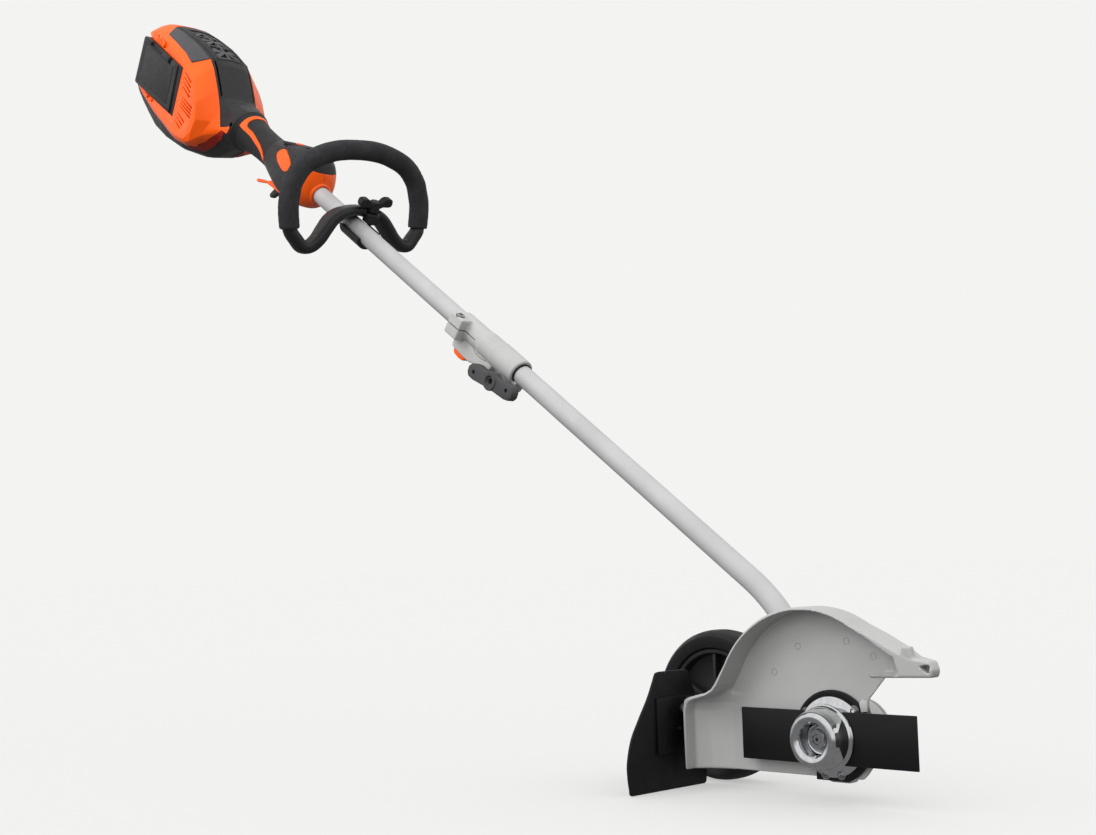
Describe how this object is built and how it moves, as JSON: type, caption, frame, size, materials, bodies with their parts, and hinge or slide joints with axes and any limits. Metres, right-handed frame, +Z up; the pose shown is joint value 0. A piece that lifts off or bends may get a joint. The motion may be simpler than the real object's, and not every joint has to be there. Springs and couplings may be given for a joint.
{
  "type": "lawn edger",
  "caption": "Battery stick lawn edger with a vertical blade in a half-round guard, a depth wheel, a loop handle and a two-piece shaft.",
  "frame": {"origin": "on the ground the wheel stands on, under the middle of the whole tool", "axes": "+X the way the tool rolls forward, +Y the tool's left, where the wheel is, +Z up"},
  "size_m": [1.3856, 0.2354, 1.0773],
  "materials": {
    "orange_plastic": "satin moulded plastic",
    "dark_plastic": "fine textured plastic",
    "black_plastic": "textured plastic",
    "foam": "matt foam and soft rubber",
    "rubber": "matt rubber",
    "silver_paint": "satin silver paint on a casting",
    "tube_paint": "satin silver paint",
    "chrome": "polished chrome",
    "steel": "machined steel",
    "black_steel": "black coated steel",
    "copper": "enamelled winding"
  },
  "bodies": {
    "upper_unit": {"upper_tube": "tube_paint", "shaft_bushing_lower": "black_plastic", "shaft_bushing_upper": "black_plastic", "coupler_body": "silver_paint", "coupler_clamp_screw": "steel", "nose_cap": "orange_plastic", "control_housing": "dark_plastic", "keypad_panel": "black_plastic", "side_inlay_right": "orange_plastic", "side_inlay_left": "orange_plastic", "lever_pin": "steel", "rear_grip": "foam", "grip_trim": "orange_plastic", "side_shell_right": "orange_plastic", "side_shell_left": "orange_plastic", "top_spine": "dark_plastic", "top_grille": "black_plastic", "motor_housing": "dark_plastic", "motor_stator": "copper", "motor_bearing": "steel"},
    "attachment": {"lower_tube": "tube_paint", "flexible_shaft": "steel", "guard_shell": "silver_paint", "gear_case": "silver_paint", "gear_case_lid": "silver_paint", "gear_cover": "black_steel", "pinion_bearing": "steel", "output_bearing": "steel", "debris_flap": "rubber", "flap_bracket": "black_steel", "flap_bolt": "steel", "arm_pivot_bolt": "steel"},
    "blade_group": {"blade": "black_steel", "blade_cup": "chrome", "blade_nut": "steel", "dust_flange": "chrome", "output_shaft": "steel", "bevel_gear": "steel"},
    "pinion": {"bevel_pinion": "steel"},
    "drive_line": {"motor_rotor": "steel", "cooling_fan": "black_plastic", "upper_drive_shaft": "steel"},
    "height_arm": {"wheel_arm": "black_steel", "wheel_axle": "steel"},
    "wheel": {"wheel_hub": "black_plastic", "wheel_tyre": "rubber"},
    "height_clamp": {"height_knob": "black_plastic"},
    "coupler_clamp": {"coupler_knob": "black_plastic"},
    "release": {"release_button": "orange_plastic"},
    "loop_handle": {"loop_frame": "dark_plastic", "grip_sleeve": "foam", "loop_clamp_lower": "dark_plastic"},
    "loop_clamp_knob": {"loop_knob": "dark_plastic"},
    "trigger": {"throttle_trigger": "orange_plastic"},
    "lockout": {"trigger_lockout": "black_plastic"},
    "power": {"power_button": "dark_plastic"},
    "mode": {"mode_button": "orange_plastic"},
    "battery": {"battery_pack": "dark_plastic"},
    "latch_upper": {"battery_latch_upper": "orange_plastic"},
    "latch_lower": {"battery_latch_lower": "orange_plastic"}
  },
  "joints": [
    {"name": "attachment_pull_out", "type": "slide", "parent": "upper_unit", "child": "attachment", "axis": [0.8025, 0, -0.5966], "range_m": [0, 0.06]},
    {"name": "blade_spin", "type": "hinge", "parent": "attachment", "child": "blade_group", "pos_m": [0.5606, -0.0379, 0.062], "axis": [0, 1, 0], "continuous": true},
    {"name": "pinion_spin", "type": "hinge", "parent": "attachment", "child": "pinion", "pos_m": [0.5606, 0.00235, 0.062], "axis": [-0.5548, 0, 0.832], "continuous": true},
    {"name": "drive_spin", "type": "hinge", "parent": "upper_unit", "child": "drive_line", "pos_m": [0.5606, 0.00235, 0.12872], "axis": [-0.8025, 0, 0.5966], "continuous": true},
    {"name": "height_swing", "type": "hinge", "parent": "attachment", "child": "height_arm", "pos_m": [0.4646, -0.0379, 0.08], "axis": [0, 1, 0], "range_deg": [-12, 12]},
    {"name": "wheel_spin", "type": "hinge", "parent": "height_arm", "child": "wheel", "pos_m": [0.3706, -0.0379, 0.08], "axis": [0, 1, 0], "continuous": true},
    {"name": "height_knob_turn", "type": "hinge", "parent": "attachment", "child": "height_clamp", "pos_m": [0.4646, -0.0379, 0.135], "axis": [0, 1, 0], "range_deg": [0, 360]},
    {"name": "coupler_knob_turn", "type": "hinge", "parent": "upper_unit", "child": "coupler_clamp", "pos_m": [0.08773, 0.00235, 0.45474], "axis": [0, -1, 0], "range_deg": [0, 360]},
    {"name": "release_press", "type": "slide", "parent": "upper_unit", "child": "release", "axis": [0.5966, 0, 0.8025], "range_m": [0, 0.003], "stiffness_N_per_m": 800},
    {"name": "loop_slide", "type": "slide", "parent": "upper_unit", "child": "loop_handle", "axis": [-0.8025, 0, 0.5966], "range_m": [-0.15, 0.05]},
    {"name": "loop_knob_turn", "type": "hinge", "parent": "loop_handle", "child": "loop_clamp_knob", "pos_m": [-0.19395, 0.01919, 0.69266], "axis": [0.5908, -0.1392, 0.7947], "range_deg": [0, 90]},
    {"name": "trigger_squeeze", "type": "hinge", "parent": "upper_unit", "child": "trigger", "pos_m": [-0.34812, 0.00235, 0.77692], "axis": [0, 1, 0], "range_deg": [0, 8], "stiffness_Nm_per_rad": 0.5},
    {"name": "lockout_press", "type": "hinge", "parent": "upper_unit", "child": "lockout", "pos_m": [-0.34812, 0.00235, 0.77692], "axis": [0, 1, 0], "range_deg": [0, 12], "stiffness_Nm_per_rad": 0.3},
    {"name": "power_press", "type": "slide", "parent": "upper_unit", "child": "power", "axis": [-0.3548, 0, -0.9349], "range_m": [0, 0.001], "stiffness_N_per_m": 400},
    {"name": "mode_press", "type": "slide", "parent": "upper_unit", "child": "mode", "axis": [-0.3548, 0, -0.9349], "range_m": [0, 0.001], "stiffness_N_per_m": 400},
    {"name": "battery_slide_out", "type": "slide", "parent": "upper_unit", "child": "battery", "axis": [-0.8025, 0, 0.5966], "range_m": [0, 0.13]},
    {"name": "upper_latch_press", "type": "slide", "parent": "upper_unit", "child": "latch_upper", "axis": [0, 1, 0], "range_m": [0, 0.003], "stiffness_N_per_m": 600},
    {"name": "lower_latch_press", "type": "slide", "parent": "upper_unit", "child": "latch_lower", "axis": [0, 1, 0], "range_m": [0, 0.003], "stiffness_N_per_m": 600}
  ],
  "couplings": [
    {"joint": "pinion_spin", "follows": "blade_spin", "ratio": -1.5},
    {"joint": "drive_spin", "follows": "blade_spin", "ratio": -1.5}
  ]
}
